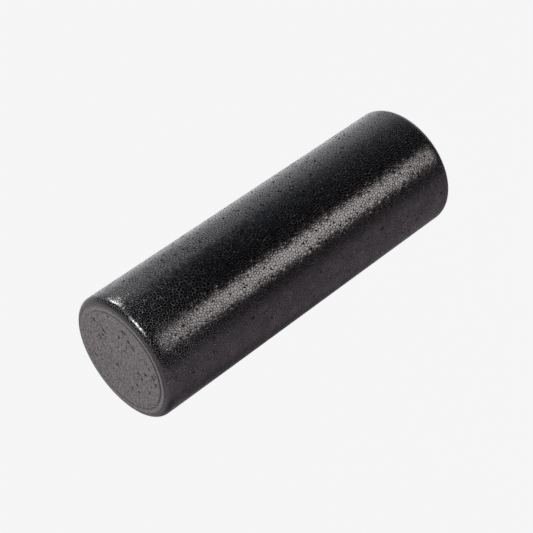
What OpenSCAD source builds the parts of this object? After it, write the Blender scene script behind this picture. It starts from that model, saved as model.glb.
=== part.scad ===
// Foam roller: one moulded cylinder of bead foam lying on its side.
// Millimetres, +Z up. The axis runs along X, the lowest line of the roller is at Z = 0 and
// the middle of its length is at X = 0.

/* [Body] */
// outside diameter of the roller
body_d = 151; // [80:1:200]
// length over both end faces
body_l = 457; // [250:1:920]
// radius of the rounded edge round each end
edge_r = 7.5; // [3:0.5:12]

/* [End ring] */
// height of the centre disc above the foot of the rounded edge
disc_rise = 0.4; // [0.2:0.1:1]
// width of the crowned ring between the centre disc and the rounded edge
ring_w = 6.5; // [4:0.5:9]
// radius of the crown across the ring
crown_r = 13; // [10:0.5:20]
// radius of the tool that cuts the groove round the centre disc
groove_r = 1.1; // [0.6:0.1:1.4]
// depth of the groove round the centre disc
groove_depth = 0.8; // [0.3:0.1:1]

/* [Node to show] */
// node to draw, or all

/* [Hidden] */
foam_color = [0.07, 0.07, 0.075];
body_r = body_d / 2;
half_l = body_l / 2;
// radius where the ring ends and the rounded edge begins
land_r = body_r - edge_r;
// radius of the flat centre disc
disc_r = land_r - ring_w;
// radius of the highest line of the ring
crest_r = land_r - ring_w / 2;
// level of the foot of the rounded edge
land_l = half_l - disc_rise;
$fn = 96;

// half section of one end, from the middle of the roller out to the end face
module end_section() {
  difference() {
    union() {
      // flat centre disc
      square([disc_r, half_l]);
      // foam under the ring
      square([land_r, land_l]);
      // foam inside the rounded edge
      square([body_r, land_l - edge_r]);
      // rounded edge
      translate([land_r, land_l - edge_r])
        circle(r = edge_r);
      // crown of the ring, level with the centre disc at its crest
      intersection() {
        translate([crest_r, half_l - crown_r])
          circle(r = crown_r);
        translate([disc_r, 0])
          square([ring_w, half_l]);
      }
    }
    // groove between the centre disc and the ring
    translate([disc_r, half_l + groove_r - groove_depth])
      circle(r = groove_r);
  }
}

// the whole half section, both ends alike
module roller_section() {
  end_section();
  mirror([0, 1])
    end_section();
}

module foam_body() {
  color(foam_color)
    translate([0, 0, body_r])
      rotate([0, 90, 0])
        rotate_extrude()
          roller_section();
}

foam_body();
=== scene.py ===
"""Foam roller: a black bead-foam cylinder lying on a pale studio floor.

The frame is metres, +Z up, with the roller's axis along X and its lowest line at Z = 0.
The skin is one watertight mesh of fused foam beads, from one end face round to the other.
It is made of sheets of beads, which are laid flat, given their relief and then wrapped on.
"""

import math

import bpy
import numpy as np
from mathutils import Matrix, Vector
from mathutils.geometry import delaunay_2d_cdt


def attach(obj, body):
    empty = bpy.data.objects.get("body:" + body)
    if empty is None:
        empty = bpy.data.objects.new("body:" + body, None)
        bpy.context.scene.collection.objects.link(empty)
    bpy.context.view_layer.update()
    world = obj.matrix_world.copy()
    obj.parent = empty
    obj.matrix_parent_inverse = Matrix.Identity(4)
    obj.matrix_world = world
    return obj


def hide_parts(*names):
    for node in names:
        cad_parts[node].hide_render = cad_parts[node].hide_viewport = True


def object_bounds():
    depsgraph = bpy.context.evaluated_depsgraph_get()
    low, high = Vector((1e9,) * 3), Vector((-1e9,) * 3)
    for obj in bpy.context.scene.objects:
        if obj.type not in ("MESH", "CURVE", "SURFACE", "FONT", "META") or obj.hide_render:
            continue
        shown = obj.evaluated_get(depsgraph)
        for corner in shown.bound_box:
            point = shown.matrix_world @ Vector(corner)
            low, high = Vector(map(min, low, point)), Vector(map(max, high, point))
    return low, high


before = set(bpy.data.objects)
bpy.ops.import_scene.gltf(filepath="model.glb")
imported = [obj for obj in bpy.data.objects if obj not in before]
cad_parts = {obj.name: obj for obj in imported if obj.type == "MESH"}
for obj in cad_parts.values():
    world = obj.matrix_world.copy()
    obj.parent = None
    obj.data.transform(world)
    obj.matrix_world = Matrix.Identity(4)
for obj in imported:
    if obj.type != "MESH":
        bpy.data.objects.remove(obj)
cad_lo, cad_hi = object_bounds()

MM = 0.001
SEED = 41

# ---- driving dimensions, the same as the solid's ----
BODY_R = (cad_hi.z - cad_lo.z) / 2
HALF_L = (cad_hi.x - cad_lo.x) / 2
EDGE_R = 7.5 * MM
DISC_RISE = 0.4 * MM
RING_W = 6.5 * MM
CROWN_R = 13 * MM
GROOVE_R = 1.1 * MM
GROOVE_DEPTH = 0.8 * MM
LAND_R = BODY_R - EDGE_R
DISC_R = LAND_R - RING_W
CREST_R = LAND_R - RING_W / 2
LAND_L = HALF_L - DISC_RISE
CENTRE = Vector((0, 0, BODY_R))

# ---- foam beads ----
# distance between beads on the side, on the end faces and along the rims between the two
BEAD = 3.5 * MM
END_BEAD = 2.7 * MM
RIM_BEAD = 2.7 * MM
# run from a rim over which the side's beads grow to their full size
FINE_RUN = 90 * MM
# how far a bead strays from its even place, as a share of the distance between beads
BEAD_JITTER = 0.55
CALM_JITTER = 0.4
# width of the bevel round a bead's top, as a share of the way out to its corners
BEVEL_SHARE = 0.16
END_BEVEL_SHARE = 0.19
BEVEL_SPREAD = (0.65, 1.5)
# depth of the seams between beads, rise of a bead's middle and slope of its top
SEAM_DEPTH = 0.41 * MM
SEAM_SPREAD = (0.7, 1.3)
END_SEAM_SHARE = 0.6
DOME = 0.10 * MM
TILT = 0.020
# slope towards the rounded edge of the beads next to it
EDGE_LEAN = 0.17
EDGE_LEAN_RUN = 2.6 * MM
# share of the full relief on an end face and at a rim, and what the skin and the side add to it
END_RELIEF = 0.4
RIM_RELIEF = 0.14
SKIN_RELIEF = 0.12
SIDE_RELIEF = 0.74
# finer beads have less relief, by this power of their size
FINE_RELIEF = 1.5

# ---- pits where beads meet, and beads that are lost ----
PIT_DEPTH = (0.6 * MM, 0.9 * MM)
# how far the tops round a pit draw back from it, and how far they sink into it
PIT_MOUTH = (0.48, 0.76)
PIT_LIP = 0.12
# depth of a lost bead's rim and corners, as a share of the depth of its middle
LOST_RIM = 0.85
LOST_CORNER = 0.45
# share of the corners that are pits, of the pits that take in the next corner, and of lost beads
PIT_SHARE = 0.030
LONG_PIT_SHARE = 0.15
LOST_BEAD_SHARE = 0.003
# how far pits, lost beads and an end face's beads keep from the rims
PIT_MARGIN = 1.2 * BEAD
LOST_MARGIN = 2 * BEAD
END_BEAD_MARGIN = 0.62 * END_BEAD
END_LOST_MARGIN = 1.5 * END_BEAD
# end faces: crumbled spots, with their radius in mm, single pits and beads that have come loose
END_CLUSTERS = 14
CLUSTER_R = (1.2, 3.2)
CRUMBLED_SHARE = 0.7
END_PIT_SHARE = 0.04
END_LOST_SHARE = 0.004
LOOSE_BEADS = 16

# ---- how the skin and the ring look ----
# direction round the end face, from +Y, in which the painted shade on the ring and rounded edge is darkest,
# and how much of it is left opposite
RING_DARKEST_AT = math.radians(145)
RING_LEAST = 0.22
RING_MORE = 0.78
# turn of the rounded edge over which the end face's matt foam gives way to the glossy skin
SKIN_TURN = math.radians(34)
# painted shade on the whole of the rounded edge, and what the painted dark line at its foot adds, with that
# line's width
EDGE_SHADE = 0.55
FOOT_SHADE = 0.45
EDGE_FOOT_W = 1.8 * MM
RING_FOOT_W = 1.5 * MM
# width of the painted shade in the groove, in groove radii, at its least and what it gains towards its
# darkest side
GROOVE_SHADE_W = 0.35
GROOVE_SHADE_GROWTH_W = 1.7
# levels of the "seam" and "pit" values on the rim of a bead's top, where 1 is the seam or pit itself
SEAM_ON_RIM = 0.12
PIT_ON_RIM = 0.35
# the "bead" value, which differs from bead to bead, where there are no beads
MID_BEAD = 0.5

# ---- camera: the photograph's viewing angle, with its distance in metres and its lens in mm ----
CAMERA_AZIMUTH = math.radians(-45.466)
CAMERA_ELEVATION = math.radians(43.484)
CAMERA_DISTANCE = 1.8452
CAMERA_LENS = 108.92
# how far left of the roller's centre and below it the camera looks
AIM_LEFT = 0.00546
AIM_DOWN = 0.01198


# ---------------------------------------------------------------- bead mesh

def relaxed(points, fixed, period=None):
    """Moves each free point half way to the mean of its neighbours, to even out the beads."""
    tris = triangulate(points, period)
    total = np.zeros_like(points)
    count = np.zeros(len(points))
    for j in range(3):
        a = tris[:, j]
        b = tris[:, (j + 1) % 3]
        step = wrapped(points[b] - points[a], period)
        np.add.at(total, a, step)
        np.add.at(count, a, 1)
    move = 0.5 * total / np.maximum(count, 1)[:, None]
    move[fixed] = 0
    return points + move


def wrapped(step, period):
    """Steps between points, the short way round where the first axis repeats."""
    if period is None:
        return step
    step = step.copy()
    step[:, 0] -= period * np.round(step[:, 0] / period)
    return step


def triangulate(points, period=None):
    """Delaunay triangles, counter-clockwise. With a period, the sheet's first axis closes on itself."""
    source = np.arange(len(points))
    spread = points
    if period is not None:
        margin = 5 * BEAD
        x = points[:, 0] % period
        base = np.column_stack([x, points[:, 1]])
        left = x > period - margin
        right = x < margin
        spread = np.concatenate([base, base[left] - [period, 0], base[right] + [period, 0]])
        source = np.concatenate([source, source[left], source[right]])
    made = delaunay_2d_cdt([Vector(p) for p in spread], [], [], 0, 1e-9, True)
    place = np.array([o[0] for o in made[3]])
    flat = np.array([v[:] for v in made[0]])
    tris = np.array([f[:] for f in made[2]])
    a, b, c = flat[tris[:, 0]], flat[tris[:, 1]], flat[tris[:, 2]]
    area = (b[:, 0] - a[:, 0]) * (c[:, 1] - a[:, 1]) - (b[:, 1] - a[:, 1]) * (c[:, 0] - a[:, 0])
    tris[area < 0] = tris[area < 0][:, ::-1]
    keep = np.abs(area) > 1e-12
    if period is not None:
        middle = (a[:, 0] + b[:, 0] + c[:, 0]) / 3
        keep &= (middle >= 0) & (middle < period)
    return source[place[tris[keep]]]


class Beads:
    """Cells round each point of a plane sheet: a centre, an inner ring of vertices and shared corners."""

    def __init__(self, points, period=None):
        self.points = points
        self.tris = triangulate(points, period)
        n, t = len(points), len(self.tris)
        self.n_beads = n
        self.n_tris = t
        first = points[self.tris[:, 0]]
        to_b = wrapped(points[self.tris[:, 1]] - first, period)
        to_c = wrapped(points[self.tris[:, 2]] - first, period)
        self.corner = first + (to_b + to_c) / 3
        self.bead_of_inner = self.tris.ravel()
        self.tri_of_inner = np.repeat(np.arange(t), 3)
        self.reach = wrapped(self.corner[self.tri_of_inner] - points[self.bead_of_inner], period)
        # a bead's centre has the bead's own number, then come the corners and the inner rings
        self.corner_id = n + np.arange(t)
        self.inner_id = n + t + np.arange(3 * t).reshape(t, 3)
        self.join()

    def join(self):
        """Finds, for each edge of each triangle, the triangle on its other side."""
        n = self.n_beads
        start = self.tris
        end = np.roll(self.tris, -1, axis=1)
        key = (start * n + end).ravel()
        back = (end * n + start).ravel()
        order = np.argsort(key)
        spot = np.searchsorted(key[order], back)
        spot = np.minimum(spot, len(key) - 1)
        found = key[order][spot] == back
        self.twin = np.where(found, order[spot], -1).reshape(-1, 3)

    def faces(self):
        """Bead tops, bevels and the rim edges that have no twin."""
        t = np.repeat(np.arange(self.n_tris), 3)
        j = np.tile(np.arange(3), self.n_tris)
        twin = self.twin.ravel()
        a = self.tris[t, j]
        inner_here = self.inner_id[t, j]
        whole = twin >= 0
        other_t, other_j = twin // 3, (twin % 3 + 1) % 3
        inner_there = self.inner_id[other_t, other_j]
        tops = np.column_stack([a, inner_there, inner_here])[whole]
        quads = np.column_stack([inner_there, self.corner_id[other_t], self.corner_id[t], inner_here])[whole]
        rim = np.column_stack([t, j])[~whole]
        return tops, quads, rim


def rim_faces(beads, rim, middle_id):
    """Half beads along a rim, where middle_id gives the vertex between two rim beads."""
    t, j = rim[:, 0], rim[:, 1]
    k = (j + 1) % 3
    a, b = beads.tris[t, j], beads.tris[t, k]
    corner = beads.corner_id[t]
    near_a, near_b = beads.inner_id[t, j], beads.inner_id[t, k]
    tops = np.concatenate([np.column_stack([a, middle_id, near_a]), np.column_stack([b, near_b, middle_id])])
    bevels = np.concatenate([
        np.column_stack([middle_id, corner, near_a]),
        np.column_stack([middle_id, near_b, corner]),
    ])
    return tops, bevels


# values that each vertex carries for the material: how far it is into a seam or a pit, its bead's
# own random number, how much glossy skin there is and how much painted shade the ring and rounded edge get
VALUES = ("seam", "pit", "bead", "skin", "crease")


class Skin:
    """The vertices, faces and vertex values of the whole skin, block by block."""

    def __init__(self):
        self.co = []
        self.values = {name: [] for name in VALUES}
        self.tops = []
        self.others = []
        self.count = 0

    def add(self, co, **values):
        """Adds a block of vertices. Values that aren't given are 0. Returns its first vertex number."""
        start = self.count
        self.co.append(co)
        for name, rows in self.values.items():
            rows.append(np.broadcast_to(values.get(name, 0.0), len(co)).astype(float))
        self.count += len(co)
        return start


def relief(beads, rng, strength, bevel_share, depth_share, pits, lost, lean=0.0):
    """Flat places, heights and vertex values of a bead sheet. strength(flat) is the relief's share."""
    n, t = beads.n_beads, beads.n_tris
    bead, tri = beads.bead_of_inner, beads.tri_of_inner
    own = rng.random(n)
    tilt = rng.normal(0, TILT, (n, 2))
    tilt[:, 1] += lean
    share = 1 - (bevel_share * rng.uniform(*BEVEL_SPREAD, t))[tri]

    deep = np.zeros(t)
    deep[pits] = rng.uniform(*PIT_DEPTH, len(pits))
    gone = np.zeros(n)
    gone[lost] = rng.uniform(*PIT_DEPTH, len(lost))

    open_pit = deep[tri] > 0
    share = np.where(open_pit, share * rng.uniform(*PIT_MOUTH, len(share)), share)
    offset = beads.reach * share[:, None]
    inner_at = beads.points[bead] + offset

    h_centre = DOME * strength(beads.points) - gone
    seam_depth = SEAM_DEPTH * depth_share * strength(beads.corner) * rng.uniform(*SEAM_SPREAD, t)
    slope = (tilt[bead] * offset).sum(1) * strength(inner_at)
    h_inner = slope - PIT_LIP * deep[tri] - LOST_RIM * gone[bead]
    lost_near = np.zeros(t)
    np.maximum.at(lost_near, tri, gone[bead] * LOST_CORNER)
    h_corner = -np.maximum(seam_depth + lost_near, deep)

    flat = np.concatenate([beads.points, beads.corner, inner_at])
    height = np.concatenate([h_centre, h_corner, h_inner])
    pit_on_rim = np.where(gone[bead] > 0, 1, PIT_ON_RIM * open_pit)
    values = {
        "seam": np.concatenate([np.zeros(n), np.ones(t), np.full(3 * t, SEAM_ON_RIM)]),
        "pit": np.concatenate([gone > 0, (deep > 0) | (lost_near > 0), pit_on_rim]),
        "bead": np.concatenate([own, own[beads.tris].mean(1), own[bead]]),
    }
    return flat, height, values


# ---------------------------------------------------------------- side and rounded edges

MAP_GAP = 4 * MM
EDGE_ARC = EDGE_R * math.pi / 2
SIDE_L = 2 * (LAND_L - EDGE_R)
SHEET_L = SIDE_L + 2 * EDGE_ARC
RIM_BEADS = round(2 * math.pi * LAND_R / RIM_BEAD)
ROUND = 2 * math.pi * BODY_R


def edge_angle(s):
    """Turn of the outline at run s: 0 on the end face, a quarter turn on the side."""
    from_end = np.minimum(s, SHEET_L - s)
    return np.clip(from_end / EDGE_R, 0, math.pi / 2)


def outline(s):
    """Radius, place along X and outward direction of the outline at run s from the -X rim."""
    turn = edge_angle(s)
    end = np.where(s < SHEET_L / 2, -1.0, 1.0)
    radius = LAND_R + EDGE_R * np.sin(turn)
    on_side = np.clip(s - EDGE_ARC, 0, SIDE_L) - SIDE_L / 2
    x = on_side + end * EDGE_R * np.cos(turn)
    return radius, x, np.sin(turn), end * np.cos(turn)


def wrap_sheet(flat, height):
    """Lays the sheet round the body: its first axis goes round, its second along."""
    angle = flat[:, 0] / BODY_R
    radius, x, out_r, out_x = outline(flat[:, 1])
    r = radius + height * out_r
    return np.column_stack([x + height * out_x, r * np.cos(angle), BODY_R + r * np.sin(angle)])


def skin_share(s):
    """How much of the glossy skin there is: none on the end face, all of it on the side."""
    t = np.clip(edge_angle(s) / SKIN_TURN, 0, 1)
    return t * t * (3 - 2 * t)


def sheet_painted_shade(flat):
    """Painted shade on the rounded edge: most in a line at its foot, and darkest on the side where the
    ring's painted shade is.
    """
    from_foot = np.minimum(flat[:, 1], SHEET_L - flat[:, 1])
    line = FOOT_SHADE * np.exp(-((from_foot / EDGE_FOOT_W) ** 2))
    return (line + EDGE_SHADE) * ring_shade_weight(flat[:, 0] / BODY_R)


def edge_distance(s):
    """Distance along the side from the nearer rounded edge, 0 on the edge itself."""
    return np.maximum(np.minimum(s, SHEET_L - s) - EDGE_ARC, 0)


def edge_lean(s):
    """Slope of the beads next to a rounded edge, which lean over towards it."""
    near, far = s - EDGE_ARC, SHEET_L - EDGE_ARC - s
    lean_near = np.where(near > -BEAD / 2, np.exp(-np.maximum(near, 0) / EDGE_LEAN_RUN), 0)
    lean_far = np.where(far > -BEAD / 2, np.exp(-np.maximum(far, 0) / EDGE_LEAN_RUN), 0)
    return EDGE_LEAN * (lean_near - lean_far)


def bead_pitch(s):
    """Distance between beads at run s: the foam is finer next to the ends."""
    t = np.clip(np.minimum(s, SHEET_L - s) / FINE_RUN, 0, 1)
    return RIM_BEAD + (BEAD - RIM_BEAD) * t * t * (3 - 2 * t)


def row_places():
    """Runs of the rows of beads, from rim to rim."""
    steps = 2000
    run = np.linspace(0, SHEET_L, steps + 1)
    middle = (run[1:] + run[:-1]) / 2
    rows = np.diff(run) / (bead_pitch(middle) * math.sqrt(3) / 2)
    count = np.concatenate([[0], np.cumsum(rows)])
    return np.interp(np.linspace(0, count[-1], round(count[-1]) + 1), count, run)


def sheet_points(rng):
    """Bead centres in staggered rows. The two rims are evenly spaced and the rows next to them calmer."""
    points, fixed = [], []
    places = row_places()
    last = len(places) - 1
    for k, s in enumerate(places):
        rim = k in (0, last)
        pitch = bead_pitch(s)
        radius = outline(np.array([s]))[0][0]
        n = RIM_BEADS if rim else round(2 * math.pi * radius / pitch)
        u = ROUND * (np.arange(n) + (0 if rim else 0.5 * (k % 2))) / n
        row = np.column_stack([u, np.full(n, s)])
        if not rim:
            calm = CALM_JITTER if k in (1, last - 1) else 1.0
            row += rng.uniform(-1, 1, (n, 2)) * pitch * BEAD_JITTER * calm
        points.append(row)
        fixed.append(np.full(n, rim))
    return np.concatenate(points), np.concatenate(fixed)


def sheet_strength(flat):
    """Share of the full relief: little on the rounded edge, and growing over the side's first beads."""
    run = flat[:, 1]
    most = (bead_pitch(run) / BEAD) ** FINE_RELIEF
    share = RIM_RELIEF + SKIN_RELIEF * skin_share(run) + SIDE_RELIEF * edge_distance(run) / (2 * BEAD)
    return np.minimum(share, most)


def clear_of_rims(run, margin):
    """Numbers of the places that lie further than a margin from both rims."""
    return np.flatnonzero((run > margin) & (run < SHEET_L - margin))


def sheet_pits(beads, rng):
    """The corners that are pits, some with the corner beside them, and the beads that are lost."""
    inside = clear_of_rims(beads.corner[:, 1], PIT_MARGIN)
    pits = rng.choice(inside, round(PIT_SHARE * beads.n_tris), replace=False)
    beside = beads.twin[pits[: round(LONG_PIT_SHARE * len(pits))], 0] // 3
    pits = np.union1d(pits, np.intersect1d(beside, inside))
    whole = clear_of_rims(beads.points[:, 1], LOST_MARGIN)
    lost = rng.choice(whole, round(LOST_BEAD_SHARE * beads.n_beads), replace=False)
    return pits, lost


def rim_loops(points, fixed, start, mid, mid_start):
    """The vertex loop of each rim: bead centres and the vertices between them, in turn."""
    loops = []
    for at_far_end in (False, True):
        ids = np.flatnonzero(fixed & ((points[:, 1] > SHEET_L / 2) == at_far_end))
        ids = ids[np.argsort(points[ids, 0] % ROUND)]
        mids = np.flatnonzero((mid[:, 1] > SHEET_L / 2) == at_far_end)
        mids = mids[np.argsort(mid[mids, 0] % ROUND)]
        loop = np.empty(2 * RIM_BEADS, int)
        loop[0::2] = ids + start
        loop[1::2] = mids + mid_start
        loops.append(loop)
    return loops


def add_sheet(skin):
    """The side with both rounded edges. Returns the vertex loops of its two rims."""
    rng = np.random.default_rng(SEED)
    points, fixed = sheet_points(rng)
    points = relaxed(points, fixed, ROUND)
    beads = Beads(points, ROUND)
    pits, lost = sheet_pits(beads, rng)
    lean = edge_lean(points[:, 1])
    flat, height, values = relief(beads, rng, sheet_strength, BEVEL_SHARE, 1.0, pits, lost, lean)
    height[: beads.n_beads][fixed] = 0
    values["skin"] = skin_share(flat[:, 1])
    values["crease"] = sheet_painted_shade(flat)
    start = skin.add(wrap_sheet(flat, height), **values)

    tops, quads, rim = beads.faces()
    a = beads.tris[rim[:, 0], rim[:, 1]]
    b = beads.tris[rim[:, 0], (rim[:, 1] + 1) % 3]
    mid = points[a] + wrapped(points[b] - points[a], ROUND) / 2
    mid_values = {"skin": skin_share(mid[:, 1]), "bead": MID_BEAD, "crease": sheet_painted_shade(mid)}
    mid_start = skin.add(wrap_sheet(mid, np.zeros(len(mid))), **mid_values)
    middle_id = mid_start + np.arange(len(mid)) - start
    rim_tops, rim_bevels = rim_faces(beads, rim, middle_id)
    skin.tops += [tops + start, rim_tops + start]
    skin.others += [quads + start, rim_bevels + start]
    return rim_loops(points, fixed, start, mid, mid_start)


# ---------------------------------------------------------------- end faces

GROOVE_ROWS = 10
CROWN_ROWS = 10
# turn of the groove's outer lip, as a share of its inner lip's: the crown is lower than the disc there
OUTER_LIP = 0.86


def ring_outline():
    """Radius and height above the land of the rows between the centre disc and the rounded edge."""
    lift = GROOVE_R - GROOVE_DEPTH
    lip = math.acos(lift / GROOVE_R)
    across = np.sin(np.linspace(-lip, lip * OUTER_LIP, GROOVE_ROWS))
    groove_r = DISC_R + GROOVE_R * across
    groove_h = DISC_RISE + lift - GROOVE_R * np.sqrt(1 - across**2)
    crown_r = np.linspace(groove_r[-1], LAND_R, CROWN_ROWS + 1)[1:]
    crown_h = DISC_RISE - CROWN_R + np.sqrt(CROWN_R**2 - (crown_r - CREST_R)**2)
    return np.concatenate([groove_r, crown_r]), np.concatenate([groove_h, crown_h])


def ring_shade_weight(angle):
    """How strong the painted shade on the ring and the rounded edge is round the end, 1 on its darkest side.
    The angle is from +Y.
    """
    toward = (1 + np.cos(angle - RING_DARKEST_AT)) / 2
    return RING_LEAST + RING_MORE * toward**2


def ring_painted_shade(r, angle):
    """Painted shade on the ring: most in the groove and at the foot of the rounded edge, none on the crown.
    """
    shade_weight = ring_shade_weight(angle)
    groove_w = (GROOVE_SHADE_W + GROOVE_SHADE_GROWTH_W * shade_weight**2) * GROOVE_R
    groove = np.exp(-(((r - DISC_R) / groove_w) ** 2))
    foot = np.exp(-(((r - LAND_R) / RING_FOOT_W) ** 2))
    return np.minimum(1, (groove + foot) * shade_weight)


def add_ring(skin, end, disc_loop, rim_loop):
    """Rows of quads from the rim of the centre disc over the groove and the crown to the rounded edge."""
    radii, heights = ring_outline()
    n = 2 * RIM_BEADS
    angle = 2 * math.pi * np.arange(n) / n
    rows = [disc_loop]
    for r, h in zip(radii[1:-1], heights[1:-1]):
        x = np.full(n, end * (LAND_L + h))
        co = np.column_stack([x, r * np.cos(angle), BODY_R + r * np.sin(angle)])
        rows.append(skin.add(co, bead=MID_BEAD, crease=ring_painted_shade(r, angle)) + np.arange(n))
    rows.append(rim_loop)
    for inner, outer in zip(rows[:-1], rows[1:]):
        quads = np.column_stack([inner, np.roll(inner, -1), np.roll(outer, -1), outer])
        skin.others.append(quads if end < 0 else quads[:, ::-1])


def disc_points(rng, radius):
    """Bead centres over a round face, with its rim evenly spaced."""
    rim_angle = 2 * math.pi * np.arange(RIM_BEADS) / RIM_BEADS
    rim = radius * np.column_stack([np.cos(rim_angle), np.sin(rim_angle)])
    reach = math.ceil(radius / END_BEAD) + 3
    inner = []
    for k in range(-reach, reach + 1):
        for i in range(-reach, reach + 1):
            inner.append((END_BEAD * (i + 0.5 * (k % 2)), END_BEAD * k * math.sqrt(3) / 2))
    inner = np.array(inner) + rng.uniform(-1, 1, (len(inner), 2)) * END_BEAD * BEAD_JITTER
    inner = inner[np.hypot(inner[:, 0], inner[:, 1]) < radius - END_BEAD_MARGIN]
    fixed = np.arange(len(rim) + len(inner)) < len(rim)
    return np.concatenate([rim, inner]), fixed


def disc_strength(flat):
    """Share of the full relief, the same all over an end face."""
    return np.full(len(flat), END_RELIEF)


def disc_pits(beads, rng, radius):
    """The corners that are pits, in crumbled spots, alone and round loose beads, and the lost beads."""
    inside = np.hypot(*beads.corner.T) < radius - END_BEAD
    centre = beads.points[rng.choice(beads.n_beads, END_CLUSTERS, replace=False)]
    reach = rng.uniform(*CLUSTER_R, END_CLUSTERS) * MM
    gap = np.hypot(*(beads.corner[:, None] - centre[None]).transpose(2, 0, 1)) - reach
    crumbled = (gap.min(1) < 0) & (rng.random(beads.n_tris) < CRUMBLED_SHARE)
    single = rng.random(beads.n_tris) < END_PIT_SHARE
    loose = rng.choice(beads.n_beads, LOOSE_BEADS, replace=False)
    ringed = np.isin(beads.tris, loose).any(1)
    pits = np.flatnonzero(inside & (crumbled | single | ringed))
    whole = np.flatnonzero(np.hypot(*beads.points.T) < radius - END_LOST_MARGIN)
    lost = rng.choice(whole, round(END_LOST_SHARE * beads.n_beads), replace=False)
    return pits, lost


def on_end(end, flat, height):
    """Lays a flat sheet on one end: its first axis along Y, its second along Z."""
    return np.column_stack([end * (HALF_L + height), flat[:, 0], BODY_R + flat[:, 1]])


def add_disc(skin, end):
    """The flat centre disc of one end, in beads. Returns the vertex loop of its rim."""
    rng = np.random.default_rng(SEED + (7 if end < 0 else 8))
    radius = ring_outline()[0][0]
    points, fixed = disc_points(rng, radius)
    points = relaxed(points, fixed)
    beads = Beads(points)
    pits, lost = disc_pits(beads, rng, radius)
    flat, height, values = relief(beads, rng, disc_strength, END_BEVEL_SHARE, END_SEAM_SHARE, pits, lost)
    height[: beads.n_beads][fixed] = 0
    start = skin.add(on_end(end, flat, height), **values)

    tops, quads, rim = beads.faces()
    a = beads.tris[rim[:, 0], rim[:, 1]]
    angle = np.arctan2(points[a, 1], points[a, 0]) % (2 * math.pi)
    step = np.round(angle * RIM_BEADS / (2 * math.pi)).astype(int) % RIM_BEADS
    mid_angle = 2 * math.pi * (step + 0.5) / RIM_BEADS
    mid = radius * np.column_stack([np.cos(mid_angle), np.sin(mid_angle)])
    mid_start = skin.add(on_end(end, mid, np.zeros(len(mid))), bead=MID_BEAD)
    middle_id = mid_start + np.arange(len(mid)) - start
    rim_tops, rim_bevels = rim_faces(beads, rim, middle_id)
    # faces are counter-clockwise seen from +X, so those of the -X end are turned round
    turn = slice(None, None, 1 if end > 0 else -1)
    skin.tops += [(tops + start)[:, turn], (rim_tops + start)[:, turn]]
    skin.others += [(quads + start)[:, turn], (rim_bevels + start)[:, turn]]

    loop = np.empty(2 * RIM_BEADS, int)
    loop[0::2] = start + np.arange(RIM_BEADS)
    loop[1 + 2 * step] = mid_start + np.arange(len(mid))
    return loop


# ---------------------------------------------------------------- the mesh object

def make_mesh(name, skin):
    """A mesh from the gathered blocks, with the vertex values as attributes."""
    co = np.concatenate(skin.co)
    blocks = skin.tops + skin.others
    sizes = np.concatenate([np.full(len(b), b.shape[1]) for b in blocks])
    loops = np.concatenate([b.ravel() for b in blocks])
    mesh = bpy.data.meshes.new(name)
    mesh.vertices.add(len(co))
    mesh.vertices.foreach_set("co", co.astype(np.float32).ravel())
    mesh.loops.add(len(loops))
    mesh.loops.foreach_set("vertex_index", loops.astype(np.int32))
    mesh.polygons.add(len(sizes))
    mesh.polygons.foreach_set("loop_start", (np.cumsum(sizes) - sizes).astype(np.int32))
    mesh.update(calc_edges=True)
    mesh.validate()
    for value, rows in skin.values.items():
        layer = mesh.attributes.new(value, "FLOAT", "POINT")
        layer.data.foreach_set("value", np.concatenate(rows).astype(np.float32))
    return mesh


def add_bake_map(mesh):
    """A flat map of the skin: the side with its rounded edges unrolled, and the two end faces beside it."""
    co = np.empty(3 * len(mesh.vertices), np.float32)
    mesh.vertices.foreach_get("co", co)
    co = co.reshape(-1, 3).astype(float)
    vertex = np.empty(len(mesh.loops), np.int32)
    mesh.loops.foreach_get("vertex_index", vertex)
    total = np.empty(len(mesh.polygons), np.int32)
    mesh.polygons.foreach_get("loop_total", total)
    face = np.repeat(np.arange(len(total)), total)
    middle = np.column_stack([np.bincount(face, co[vertex, k]) / total for k in range(3)])[face]
    x, y, z = co[vertex, 0], co[vertex, 1], co[vertex, 2] - BODY_R

    far_turn = np.arctan2(middle[:, 2] - BODY_R, middle[:, 1])
    turn = np.arctan2(z, y) - far_turn
    turn = far_turn + (turn + math.pi) % (2 * math.pi) - math.pi
    over = np.abs(x) - SIDE_L / 2
    round_edge = EDGE_R * np.arctan2(over, np.hypot(y, z) - LAND_R)
    run = np.sign(x) * np.where(over > 0, SIDE_L / 2 + round_edge, np.abs(x))
    side = np.column_stack([MAP_GAP + SHEET_L / 2 + run, 2 * MAP_GAP + (turn + math.pi) * BODY_R])

    top = 2 * MAP_GAP + np.where(x < 0, 1, 3) * (LAND_R + MAP_GAP)
    disc = np.column_stack([2 * MAP_GAP + SHEET_L + LAND_R + np.sign(x) * y, top + z])
    in_disc = np.hypot(middle[:, 1], middle[:, 2] - BODY_R) < LAND_R
    uv = np.where(in_disc[:, None], disc, side) / (3 * MAP_GAP + SHEET_L + 2 * LAND_R)
    layer = mesh.uv_layers.new(name="OFBake")
    layer.data.foreach_set("uv", uv.astype(np.float32).ravel())


def mark_sharp(mesh, n_tops, seam):
    """Marks the edges where a bead's top meets its bevel, and those along the bottom of a seam."""
    n_faces = len(mesh.polygons)
    total = np.empty(n_faces, np.int32)
    mesh.polygons.foreach_get("loop_total", total)
    face_of_loop = np.repeat(np.arange(n_faces), total)
    edge_of_loop = np.empty(len(mesh.loops), np.int32)
    mesh.loops.foreach_get("edge_index", edge_of_loop)
    top = (face_of_loop < n_tops).astype(int)
    tops_here = np.bincount(edge_of_loop, weights=top, minlength=len(mesh.edges))
    uses = np.bincount(edge_of_loop, minlength=len(mesh.edges))
    ends = np.empty(2 * len(mesh.edges), np.int32)
    mesh.edges.foreach_get("vertices", ends)
    bottom = (seam[ends.reshape(-1, 2)] == 1).all(1)
    sharp = mesh.attributes.new("sharp_edge", "BOOLEAN", "EDGE")
    sharp.data.foreach_set("value", ((tops_here == 1) & (uses == 2)) | bottom)


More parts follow.
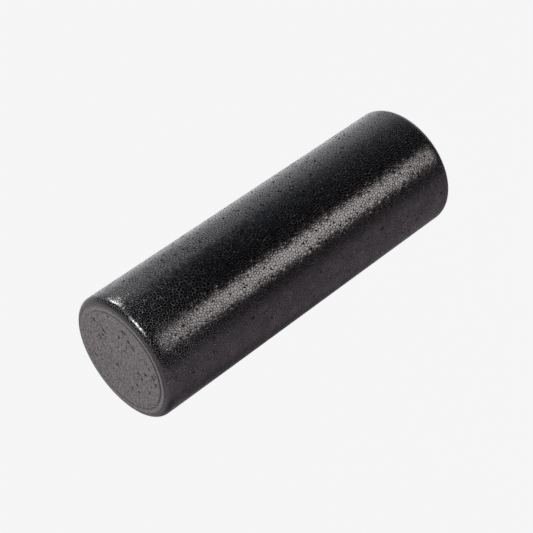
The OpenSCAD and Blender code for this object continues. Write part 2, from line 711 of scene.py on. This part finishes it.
def make_roller():
    """The whole roller as one object: the side, then each end's centre disc and ring."""
    skin = Skin()
    near_rim, far_rim = add_sheet(skin)
    for end, rim_loop in ((-1, near_rim), (1, far_rim)):
        disc_loop = add_disc(skin, end)
        add_ring(skin, end, disc_loop, rim_loop)
    mesh = make_mesh("foam_skin", skin)
    add_bake_map(mesh)
    mark_sharp(mesh, sum(len(b) for b in skin.tops), np.concatenate(skin.values["seam"]))
    roller = bpy.data.objects.new("foam_skin", mesh)
    bpy.context.scene.collection.objects.link(roller)
    return roller


# ---------------------------------------------------------------- node helpers

class Nodes:
    """A short way to write a node tree."""

    def __init__(self, tree):
        tree.nodes.clear()
        self.tree = tree

    def put(self, socket, value):
        """Links a socket to another, or sets its constant."""
        if isinstance(value, bpy.types.NodeSocket):
            self.tree.links.new(value, socket)
        else:
            socket.default_value = value

    def node(self, kind, settings=None, **inputs):
        """Adds a node. An input goes by its number, as i0, or by its name with _ for a space."""
        made = self.tree.nodes.new(kind)
        for key, value in (settings or {}).items():
            setattr(made, key, value)
        for key, value in inputs.items():
            numbered = key[0] == "i" and key[1:].isdigit()
            socket = made.inputs[int(key[1:]) if numbered else key.replace("_", " ")]
            self.put(socket, value)
        return made

    def math(self, operation, a, b=0.0, clamp=False):
        settings = {"operation": operation, "use_clamp": clamp}
        return self.node("ShaderNodeMath", settings, i0=a, i1=b).outputs[0]

    def add(self, a, b, clamp=False):
        return self.math("ADD", a, b, clamp)

    def times(self, a, b, clamp=False):
        return self.math("MULTIPLY", a, b, clamp)

    def span(self, value, from_lo, from_hi, to_lo=0.0, to_hi=1.0, ends="SMOOTHSTEP"):
        """Maps a span of values onto another, with soft ends."""
        settings = {"interpolation_type": ends}
        levels = {"i1": from_lo, "i2": from_hi, "i3": to_lo, "i4": to_hi}
        return self.node("ShaderNodeMapRange", settings, i0=value, **levels).outputs[0]

    def span_line(self, value, from_lo, from_hi, to_lo=0.0, to_hi=1.0):
        """Maps a span of values onto another in a straight line."""
        return self.span(value, from_lo, from_hi, to_lo, to_hi, "LINEAR")

    def ramp(self, value, stops):
        """A level that follows stops of (value, level), with value from -1 to 1."""
        made = self.node("ShaderNodeValToRGB", None, i0=self.span_line(value, -1, 1))
        ramp = made.color_ramp
        while len(ramp.elements) < len(stops):
            ramp.elements.new(0.5)
        for element, (place, level) in zip(ramp.elements, stops):
            element.position = (place + 1) / 2
            element.color = (level, level, level, 1)
        return made.outputs["Color"]

    def mix(self, factor, a, b):
        """Mixes two colours."""
        made = self.tree.nodes.new("ShaderNodeMix")
        made.data_type = "RGBA"
        self.put(made.inputs[0], factor)
        self.put(made.inputs[6], a)
        self.put(made.inputs[7], b)
        return made.outputs[2]

    def blend(self, factor, a, b):
        """Mixes two levels."""
        return self.node("ShaderNodeMix", None, Factor=factor, A=a, B=b).outputs[0]

    def scaled(self, colour, level):
        """A colour times a level."""
        settings = {"operation": "SCALE"}
        return self.node("ShaderNodeVectorMath", settings, i0=colour, Scale=level).outputs[0]

    def height(self, place):
        return self.node("ShaderNodeSeparateXYZ", None, Vector=place).outputs[2]

    def attribute(self, name):
        return self.node("ShaderNodeAttribute", {"attribute_name": name}).outputs["Fac"]

    def noise(self, place, scale, detail=2.0, roughness=0.5):
        inputs = {"Vector": place, "Scale": scale, "Detail": detail, "Roughness": roughness}
        return self.node("ShaderNodeTexNoise", None, **inputs).outputs["Fac"]


# ---------------------------------------------------------------- materials

# the skin's tones are multiples of these, many times paler in places: specks of dust, and painted light
SKIN_WARM = (0.00105, 0.0009, 0.0010, 1)
SKIN_COOL = (0.0008, 0.0009, 0.00105, 1)
END_COLOUR = (0.239, 0.2225, 0.2205)
# painted shade in the pits and lost beads: its colour and how far it covers the foam's
PIT_SHADE_COLOUR = (0.002, 0.002, 0.002, 1)
PIT_SHADE_COVER = 0.85
END_ROUGHNESS = 0.85
GRAIN_HEIGHT = 0.1 * MM
GRAIN_STRENGTH = 0.15


def end_colour(n, mottle, seam, bead, skin, crease):
    """The end faces' matt foam: mottled, each bead with its own tone, darker in seams, with painted shade in
    the ring and on the rounded edge.
    """
    tone = n.span(mottle, 0.3, 0.7, 0.5, 1.5)
    tone = n.times(tone, n.span(bead, 0, 1, 0.88, 1.12))
    tone = n.times(tone, n.span(seam, 0, 1, 1.0, 0.72))
    # painted shade in the ring's groove, at the foot of the rounded edge and over it
    tone = n.times(tone, n.span_line(crease, 0, 1, 1.0, 0.04))
    # more painted shade: the end foam is darker over the whole rounded edge
    tone = n.times(tone, n.span(skin, 0, 0.03, 1.0, 0.82))
    return n.scaled(END_COLOUR, tone)


def skin_colour(n, place, seam, bead):
    """The dark skin: dust specks, seams painted pale above as highlight, and a lower side painted paler in
    patches.
    """
    specks = n.span(n.noise(place, 520, 2, 0.6), 0.52, 0.75, 0.0, 7.0)
    specks = n.times(specks, n.span(n.noise(place, 28), 0.35, 0.65, 0.3, 1.5))
    low = n.span(n.height(place), 1.55 * BODY_R, 1.1 * BODY_R)
    # painted highlight: the seams are paler on the upper side, for the light their edges catch there
    seams = n.times(n.span(seam, 0.15, 0.8, 0.0, 36.0), n.span_line(low, 0, 1, 1.0, 0.1))
    # painted light: the lower side is painted paler as a lift of its light, in mottled patches of tone
    patches = n.times(low, n.span(n.noise(place, 62, 4, 0.65), 0.42, 0.66, 7.0, 25.0))
    tone = n.add(n.span(bead, 0, 1, 0.6, 1.5), n.add(specks, seams))
    hue = n.span(n.noise(place, 42), 0.42, 0.58)
    return n.scaled(n.mix(hue, SKIN_WARM, SKIN_COOL), n.add(tone, patches))


def foam_roughness(n, worn, grain, seam, pit, bead):
    """Satin skin with a little spread from bead to bead, and rough end faces, seams and pits."""
    own = n.times(n.math("SUBTRACT", bead, 0.5), 0.08)
    rough = n.blend(worn, END_ROUGHNESS, n.add(n.span(grain, 0.3, 0.7, 0.155, 0.205), own))
    rough = n.add(rough, n.span(n.math("MAXIMUM", seam, pit), 0.12, 0.6, 0.0, 0.55), True)
    return n.add(rough, n.span(pit, 0.2, 0.6, 0.0, 0.3), True)


def foam_material():
    material = bpy.data.materials.new("bead_foam")
    material.use_nodes = True
    n = Nodes(material.node_tree)
    place = n.node("ShaderNodeTexCoord").outputs["Object"]
    seam, pit, bead, skin, crease = (n.attribute(name) for name in VALUES)
    mottle = n.noise(place, 420, 3, 0.6)
    grain = n.noise(place, 1600)

    # where the skin gives way to the end face's foam, with an uneven border
    worn = n.span(n.add(skin, n.times(n.math("SUBTRACT", mottle, 0.5), 0.5)), 0.25, 0.75)
    colour = n.mix(worn, end_colour(n, mottle, seam, bead, skin, crease), skin_colour(n, place, seam, bead))
    # painted shade: pits and lost beads are darkened
    colour = n.mix(n.times(pit, PIT_SHADE_COVER, True), colour, PIT_SHADE_COLOUR)
    rough = foam_roughness(n, worn, grain, seam, pit, bead)
    fine = {"Strength": GRAIN_STRENGTH, "Distance": GRAIN_HEIGHT, "Height": grain}
    bump = n.node("ShaderNodeBump", None, **fine).outputs[0]
    shader = n.node("ShaderNodeBsdfPrincipled", None, Base_Color=colour, Roughness=rough, Normal=bump)
    shader.inputs["Specular IOR Level"].default_value = 0.5
    n.node("ShaderNodeOutputMaterial", None, Surface=shader.outputs[0])
    return material


# ---------------------------------------------------------------- studio

SWEEP_COLOUR = (0.004, 0.004, 0.004, 1)
SWEEP_ROUGHNESS = 0.9
SWEEP_GLOW = 0.916
SWEEP_GLOW_COLOUR = (1.0, 1.0, 1.004, 1)
STUDIO_R = 14.0
STUDIO_SIDES = 96
# the floor lies just clear of the roller, and the backdrop starts a little below it
FLOOR_DROP = 0.2 * MM
BACKDROP_FOOT = -0.05
BACKDROP_TOP = 12.0


def sweep_material():
    """The even pale ground, which glows so that it comes out the same everywhere."""
    material = bpy.data.materials.new("pale_sweep")
    material.use_nodes = True
    n = Nodes(material.node_tree)
    surface = {"Base_Color": SWEEP_COLOUR, "Roughness": SWEEP_ROUGHNESS}
    shader = n.node("ShaderNodeBsdfPrincipled", None, **surface)
    shader.inputs["Specular IOR Level"].default_value = 0.0
    shader.inputs["Emission Color"].default_value = SWEEP_GLOW_COLOUR
    shader.inputs["Emission Strength"].default_value = SWEEP_GLOW
    n.node("ShaderNodeOutputMaterial", None, Surface=shader.outputs[0])
    return material


def studio_ring(height):
    """Points round the studio's wall at one height."""
    turns = [2 * math.pi * i / STUDIO_SIDES for i in range(STUDIO_SIDES)]
    return [(STUDIO_R * math.cos(t), STUDIO_R * math.sin(t), height) for t in turns]


def add_stage_piece(name, verts, faces, material):
    """A piece of the studio, which is left out of the roller's reflections."""
    mesh = bpy.data.meshes.new(name)
    mesh.from_pydata(verts, [], faces)
    mesh.materials.append(material)
    piece = bpy.data.objects.new(name, mesh)
    piece.visible_glossy = False
    bpy.context.scene.collection.objects.link(piece)
    return piece


def add_floor(material):
    """A wide pale disc just under the roller."""
    floor = add_stage_piece("floor", studio_ring(0), [list(range(STUDIO_SIDES))], material)
    floor.location.z = -FLOOR_DROP


def add_backdrop(material):
    """A pale wall and ceiling seen past the floor's edge. It gives no light and lets the studio's by."""
    n = STUDIO_SIDES
    rim, top = studio_ring(BACKDROP_FOOT), studio_ring(BACKDROP_TOP)
    walls = [(i, (i + 1) % n, n + (i + 1) % n, n + i) for i in range(n)]
    backdrop = add_stage_piece("backdrop", rim + top, walls + [list(range(n, 2 * n))], material)
    backdrop.visible_diffuse = False
    backdrop.visible_shadow = False


# ---------------------------------------------------------------- lights

# angle of the key light round the roller's axis from +Y, and its middle along X
KEY_ANGLE = math.radians(140.3)
KEY_ALONG = 0.63
KEY_TINT = (1.0, 0.92, 0.915)
# width of the glint boxes' beam
GLINT_SPREAD = math.radians(38)


def softbox(name, direction, distance, width, height, radiance, tint=(1, 1, 1), aim=CENTRE):
    """A rectangular light that faces a point of the roller, its width as near to the X axis as it goes."""
    away = Vector(direction).normalized()
    across = (Vector((1, 0, 0)) - away * away.x).normalized()
    up = away.cross(across)
    data = bpy.data.lights.new(name, "AREA")
    data.shape = "RECTANGLE"
    data.size, data.size_y = width, height
    data.energy = radiance * math.pi * width * height
    data.color = tint
    turn = Matrix((across, up, away)).transposed().to_4x4()
    light = bpy.data.objects.new(name, data)
    light.matrix_world = Matrix.Translation(aim + away * distance) @ turn
    light.visible_camera = False
    bpy.context.scene.collection.objects.link(light)
    return light


def glint_box(name, direction, distance, width, height, radiance, aim):
    """A small box with a narrow beam that shows only as a reflection in the skin."""
    light = softbox(name, direction, distance, width, height, radiance, aim=aim)
    half = GLINT_SPREAD / 2
    light.data.spread = 2 * half
    light.data.energy *= 1 - half / math.tan(half)
    light.visible_diffuse = False


def key_strip(name, distance, width, height, radiance):
    """A box parallel to the roller that makes the long highlight on its side."""
    away = Vector((0, math.cos(KEY_ANGLE), math.sin(KEY_ANGLE)))
    light = softbox(name, away, distance, width, height, radiance, KEY_TINT)
    light.location.x += KEY_ALONG


def add_lights():
    """The key light with its halo, the glints on the near end's edge and a soft box for the skin there."""
    key_strip("key_box", 1.05, 0.68, 0.40, 5.4)
    key_strip("key_halo", 1.06, 0.78, 0.58, 3.0)
    edge_x = -HALF_L + EDGE_R
    crest = Vector((edge_x, -0.31 * BODY_R, 1.95 * BODY_R))
    glint_box("top_box", (-0.49, -0.09, 0.867), 0.18, 0.10, 0.20, 58.0, crest)
    edge = Vector((edge_x, 0.18 * BODY_R, 1.98 * BODY_R))
    glint_box("edge_box", (0.21, 0.76, 0.61), 0.22, 0.08, 0.19, 31.0, edge)
    top = Vector((edge_x, 0, 2 * BODY_R))
    glint_box("bridge_box", (-0.22, 0.42, 0.88), 0.2, 0.10, 0.13, 2.6, top)
    near = Vector((-0.75 * HALF_L, 0.14 * BODY_R, 1.99 * BODY_R))
    softbox("near_box", (0.517, 0.679, 0.52), 1.0, 0.16, 0.28, 0.8, aim=near)


# ---------------------------------------------------------------- world

# how bright the studio is, by height of the direction (sine of elevation, from -1 to 1)
BACK_RIGHT = (
    (-1.0, 0.05), (-0.85, 0.05), (-0.72, 0.5), (-0.6, 0.98), (-0.4, 1.5), (-0.25, 1.6), (0.1, 1.45),
    (0.37, 1.5), (0.43, 1.3), (0.52, 1.0), (0.61, 0.64), (0.69, 0.38), (0.75, 0.26), (0.85, 0.1),
)
FRONT_RIGHT = (
    (-1.0, 0.05), (-0.92, 0.06), (-0.85, 0.13), (-0.8, 0.3), (-0.65, 0.42), (-0.4, 0.57),
    (-0.25, 0.66), (-0.12, 0.54), (0.0, 0.25), (0.2, 0.08), (0.4, 0.02),
)
LEFT = (
    (-1.0, 0.3), (-0.7, 1.1), (-0.2, 1.1), (-0.08, 0.85), (0.08, 0.45), (0.25, 0.33), (0.42, 0.2),
    (0.6, 0.1), (0.8, 0.02),
)
# colour of the studio in front, behind and overhead
TINT_FRONT = (1.15, 0.97, 1.11, 1)
TINT_BEHIND = (1.03, 1.0, 1.05, 1)
TINT_ABOVE = (0.88, 1.0, 1.25, 1)


def add_world():
    """The studio round the roller: a bright wall behind, a darker room in front and little from above."""
    world = bpy.data.worlds.new("studio")
    bpy.context.scene.world = world
    world.use_nodes = True
    n = Nodes(world.node_tree)
    way = n.node("ShaderNodeTexCoord").outputs["Generated"]
    x, y, z = n.node("ShaderNodeSeparateXYZ", None, Vector=way).outputs
    from_left = n.ramp(z, LEFT)

    # in front, the right dims away from the left, which has levels of its own
    fall = n.math("SUBTRACT", 1.93, n.times(x, 1.8))
    front_right = n.times(n.ramp(z, FRONT_RIGHT), fall)
    front_left = n.times(from_left, n.span(y, -0.85, -0.35, 0.45, 1.0))
    front = n.blend(n.span(x, -0.2, -0.7), front_right, front_left)

    back = n.blend(n.span(x, 0.36, 0.48), from_left, n.ramp(z, BACK_RIGHT))
    behind = n.span(y, -0.3, 0.3)
    tint = n.mix(behind, TINT_FRONT, TINT_BEHIND)
    tint = n.mix(n.span(z, 0.5, 0.8), tint, TINT_ABOVE)
    strength = n.blend(behind, front, back)
    shade = n.node("ShaderNodeBackground", None, Color=tint, Strength=strength)
    n.node("ShaderNodeOutputWorld", None, Surface=shade.outputs[0])


# ---------------------------------------------------------------- camera

def add_camera():
    """The photograph's camera: about 45 degrees round and 43 degrees up, with a long lens."""
    back = Vector((
        math.sin(CAMERA_AZIMUTH) * math.cos(CAMERA_ELEVATION),
        -math.cos(CAMERA_AZIMUTH) * math.cos(CAMERA_ELEVATION),
        math.sin(CAMERA_ELEVATION),
    ))
    right = Vector((math.cos(CAMERA_AZIMUTH), math.sin(CAMERA_AZIMUTH), 0))
    up = back.cross(right)
    place = CENTRE + back * CAMERA_DISTANCE
    aim = CENTRE - right * AIM_LEFT - up * AIM_DOWN
    data = bpy.data.cameras.new("camera")
    data.sensor_width = 36
    data.lens = CAMERA_LENS
    camera = bpy.data.objects.new("camera", data)
    camera.location = place
    camera.rotation_mode = "QUATERNION"
    camera.rotation_quaternion = (aim - place).to_track_quat("-Z", "Y")
    bpy.context.scene.collection.objects.link(camera)
    bpy.context.scene.camera = camera


# ---------------------------------------------------------------- build

bpy.context.scene.view_settings.view_transform = "Standard"
add_camera()
roller = make_roller()
roller.data.materials.append(foam_material())
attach(roller, "root")
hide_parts("foam_body")
pale = sweep_material()
add_floor(pale)
add_backdrop(pale)
add_world()
add_lights()
